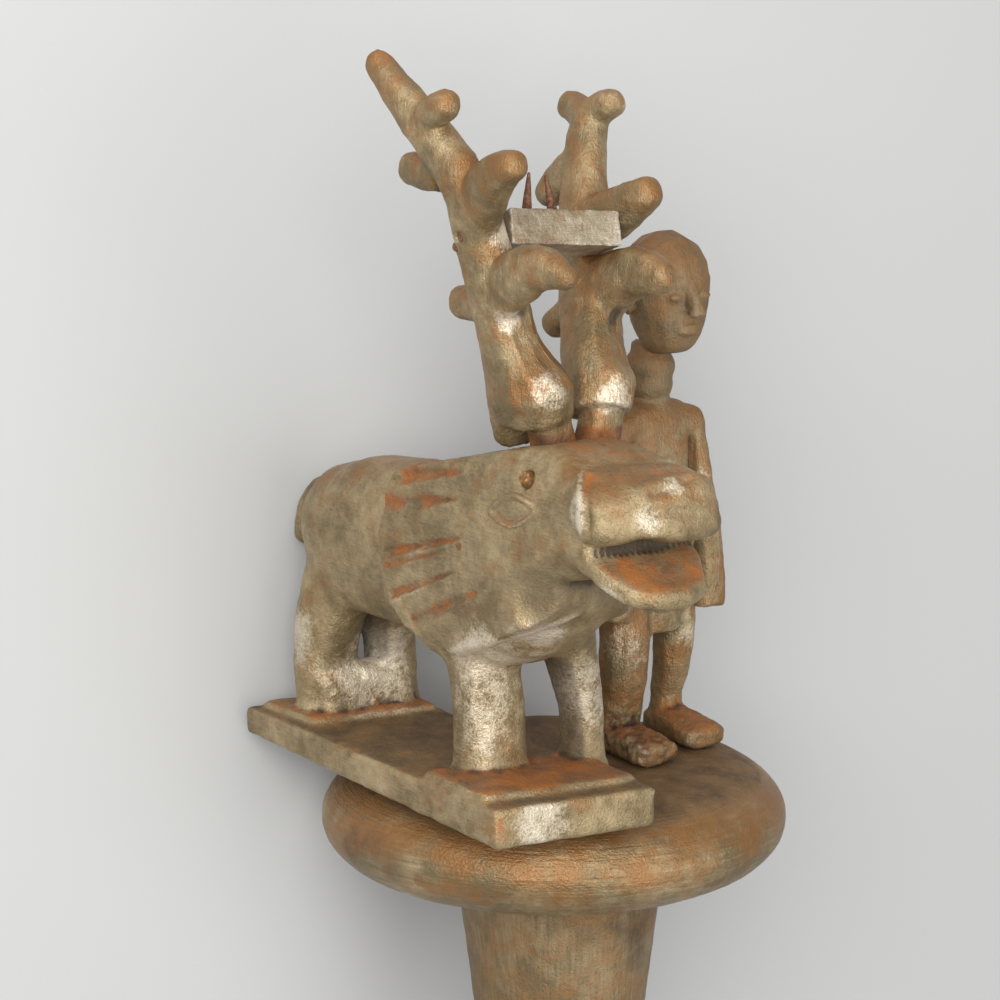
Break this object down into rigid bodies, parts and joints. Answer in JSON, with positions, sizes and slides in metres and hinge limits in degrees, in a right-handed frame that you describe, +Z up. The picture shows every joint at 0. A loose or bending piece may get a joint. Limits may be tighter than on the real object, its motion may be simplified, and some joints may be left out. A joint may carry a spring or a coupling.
{
  "type": "linguist staff",
  "caption": "Carved and painted wooden linguist staff: an antlered beast and a standing figure on a round disc, neck below, turned shaft, lying down.",
  "frame": {"origin": "on the floor under the middle of the lying staff's bounding box", "axes": "+Y along the staff towards the antlers, +X towards the staff's side on which the standing figure is, +Z up, away from the floor"},
  "size_m": [0.1462, 1.5602, 0.1991],
  "materials": {
    "painted_wood": "satin",
    "silvered_wood": "satin",
    "bare_wood": "matte",
    "brass": "satin",
    "iron": "matte"
  },
  "bodies": {
    "root": {"finial_base": "painted_wood", "shaft": "painted_wood", "antlered_animal": "painted_wood", "antler_right": "painted_wood", "antler_left": "painted_wood", "crossbar": "silvered_wood", "brow_nail": "brass", "crossbar_nail_1": "iron", "crossbar_nail_2": "iron", "antler_peg_1": "bare_wood", "antler_peg_2": "bare_wood", "standing_figure": "painted_wood"}
  },
  "joints": []
}
